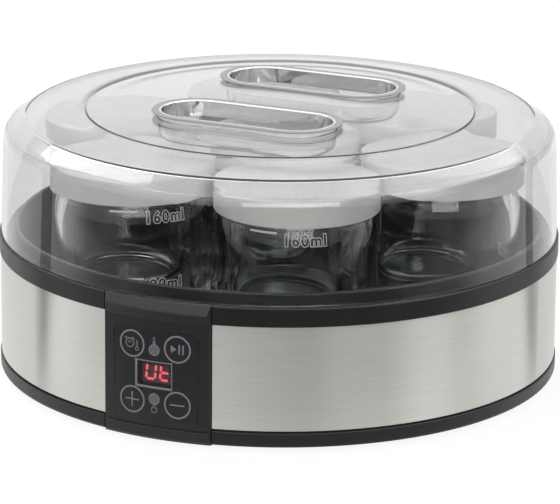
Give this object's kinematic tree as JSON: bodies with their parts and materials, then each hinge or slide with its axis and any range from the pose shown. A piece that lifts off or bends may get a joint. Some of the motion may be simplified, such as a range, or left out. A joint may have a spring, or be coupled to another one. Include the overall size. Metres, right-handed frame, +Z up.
{
  "type": "yogurt maker",
  "caption": "Round electric yogurt maker: steel-banded heated base with push-button panel, capped glass jars in a tub, and a clear lift-off lid.",
  "frame": {"origin": "centre of the bounding box's bottom face: on the table, under the centre of the body", "axes": "+Z up, the control panel faces -Y, the cord inlet faces +Y; +X is to the right of someone facing the panel"},
  "size_m": [0.25, 0.254, 0.1231],
  "materials": {
    "black_plastic": "fine-grained satin black moulding",
    "panel_plastic": "smooth black moulding",
    "overlay_gloss": "glossy black film",
    "brushed_band": "stainless sheet brushed round the body",
    "clear_lid": "clear, faintly smoky polished plastic",
    "chrome_trim": "polished chrome",
    "jar_glass": "clear pressed glass",
    "cap_white": "smooth warm white plastic",
    "smoked_window": "dark smoked lens",
    "indicator_grey": "milky grey light pipe",
    "rubber_foot": "black rubber",
    "screw_steel": "zinc-plated steel",
    "plate_aluminium": "rolled aluminium",
    "silicone_sleeve": "red silicone sleeve",
    "wire_sleeve": "glass-fibre sleeve",
    "circuit_board": "green solder mask",
    "component_dark": "dark moulded component",
    "component_blue": "blue moulded component",
    "component_pale": "pale moulded component"
  },
  "bodies": {
    "base": {"bottom_housing": "black_plastic", "feet": "rubber_foot", "housing_screws": "screw_steel", "steel_band": "brushed_band", "upper_ring": "black_plastic", "cord_gland": "black_plastic", "jar_tub": "black_plastic", "heat_plate": "plate_aluminium", "heating_element": "silicone_sleeve", "element_clips": "plate_aluminium", "temperature_sensor": "plate_aluminium", "thermal_fuse": "screw_steel", "heater_leads": "wire_sleeve", "sensor_lead": "component_dark", "power_board": "circuit_board", "board_screws": "screw_steel", "transformer": "component_dark", "relay": "component_blue", "capacitor": "component_dark", "terminal_block": "component_blue", "ribbon_cable": "component_pale", "panel_frame": "panel_plastic", "panel_screws": "screw_steel", "panel_overlay": "overlay_gloss", "display_window": "smoked_window", "display_module": "component_dark", "control_board": "circuit_board", "control_board_screws": "screw_steel", "tact_switches": "component_dark", "indicator_leds": "component_pale", "indicator_lens_upper": "indicator_grey", "indicator_lens_lower": "indicator_grey"},
    "button_timer": {"button_timer": "overlay_gloss"},
    "button_start": {"button_start": "overlay_gloss"},
    "button_plus": {"button_plus": "overlay_gloss"},
    "button_minus": {"button_minus": "overlay_gloss"},
    "lid": {"lid_shell": "clear_lid", "grip_trim_front": "chrome_trim", "grip_trim_rear": "chrome_trim"},
    "jar_1": {"jar_1": "jar_glass"},
    "cap_1": {"cap_1": "cap_white"},
    "jar_2": {"jar_2": "jar_glass"},
    "cap_2": {"cap_2": "cap_white"},
    "jar_3": {"jar_3": "jar_glass"},
    "cap_3": {"cap_3": "cap_white"},
    "jar_4": {"jar_4": "jar_glass"},
    "cap_4": {"cap_4": "cap_white"},
    "jar_5": {"jar_5": "jar_glass"},
    "cap_5": {"cap_5": "cap_white"},
    "jar_6": {"jar_6": "jar_glass"},
    "cap_6": {"cap_6": "cap_white"},
    "jar_7": {"jar_7": "jar_glass"},
    "cap_7": {"cap_7": "cap_white"}
  },
  "joints": [
    {"name": "button_timer_press", "type": "slide", "parent": "base", "child": "button_timer", "axis": [0, 1, 0], "range_m": [0, 0.0005], "stiffness_N_per_m": 1000},
    {"name": "button_start_press", "type": "slide", "parent": "base", "child": "button_start", "axis": [0, 1, 0], "range_m": [0, 0.0005], "stiffness_N_per_m": 1000},
    {"name": "button_plus_press", "type": "slide", "parent": "base", "child": "button_plus", "axis": [0, 1, 0], "range_m": [0, 0.0005], "stiffness_N_per_m": 1000},
    {"name": "button_minus_press", "type": "slide", "parent": "base", "child": "button_minus", "axis": [0, 1, 0], "range_m": [0, 0.0005], "stiffness_N_per_m": 1000},
    {"name": "lid_lift", "type": "slide", "parent": "base", "child": "lid", "axis": [0, 0, 1], "range_m": [0, 0.24]},
    {"name": "jar_1_lift", "type": "slide", "parent": "base", "child": "jar_1", "axis": [0, 0, 1], "range_m": [0, 0.108]},
    {"name": "cap_1_lift", "type": "slide", "parent": "jar_1", "child": "cap_1", "axis": [0, 0, 1], "range_m": [0, 0.0384]},
    {"name": "jar_2_lift", "type": "slide", "parent": "base", "child": "jar_2", "axis": [0, 0, 1], "range_m": [0, 0.108]},
    {"name": "cap_2_lift", "type": "slide", "parent": "jar_2", "child": "cap_2", "axis": [0, 0, 1], "range_m": [0, 0.0384]},
    {"name": "jar_3_lift", "type": "slide", "parent": "base", "child": "jar_3", "axis": [0, 0, 1], "range_m": [0, 0.108]},
    {"name": "cap_3_lift", "type": "slide", "parent": "jar_3", "child": "cap_3", "axis": [0, 0, 1], "range_m": [0, 0.0384]},
    {"name": "jar_4_lift", "type": "slide", "parent": "base", "child": "jar_4", "axis": [0, 0, 1], "range_m": [0, 0.108]},
    {"name": "cap_4_lift", "type": "slide", "parent": "jar_4", "child": "cap_4", "axis": [0, 0, 1], "range_m": [0, 0.0384]},
    {"name": "jar_5_lift", "type": "slide", "parent": "base", "child": "jar_5", "axis": [0, 0, 1], "range_m": [0, 0.108]},
    {"name": "cap_5_lift", "type": "slide", "parent": "jar_5", "child": "cap_5", "axis": [0, 0, 1], "range_m": [0, 0.0384]},
    {"name": "jar_6_lift", "type": "slide", "parent": "base", "child": "jar_6", "axis": [0, 0, 1], "range_m": [0, 0.108]},
    {"name": "cap_6_lift", "type": "slide", "parent": "jar_6", "child": "cap_6", "axis": [0, 0, 1], "range_m": [0, 0.0384]},
    {"name": "jar_7_lift", "type": "slide", "parent": "base", "child": "jar_7", "axis": [0, 0, 1], "range_m": [0, 0.108]},
    {"name": "cap_7_lift", "type": "slide", "parent": "jar_7", "child": "cap_7", "axis": [0, 0, 1], "range_m": [0, 0.0384]}
  ],
  "couplings": [
    {"joint": "jar_1_lift", "follows": "lid_lift", "ratio": 0.45},
    {"joint": "cap_1_lift", "follows": "lid_lift", "ratio": 0.16},
    {"joint": "jar_2_lift", "follows": "lid_lift", "ratio": 0.45},
    {"joint": "cap_2_lift", "follows": "lid_lift", "ratio": 0.16},
    {"joint": "jar_3_lift", "follows": "lid_lift", "ratio": 0.45},
    {"joint": "cap_3_lift", "follows": "lid_lift", "ratio": 0.16},
    {"joint": "jar_4_lift", "follows": "lid_lift", "ratio": 0.45},
    {"joint": "cap_4_lift", "follows": "lid_lift", "ratio": 0.16},
    {"joint": "jar_5_lift", "follows": "lid_lift", "ratio": 0.45},
    {"joint": "cap_5_lift", "follows": "lid_lift", "ratio": 0.16},
    {"joint": "jar_6_lift", "follows": "lid_lift", "ratio": 0.45},
    {"joint": "cap_6_lift", "follows": "lid_lift", "ratio": 0.16},
    {"joint": "jar_7_lift", "follows": "lid_lift", "ratio": 0.45},
    {"joint": "cap_7_lift", "follows": "lid_lift", "ratio": 0.16}
  ]
}
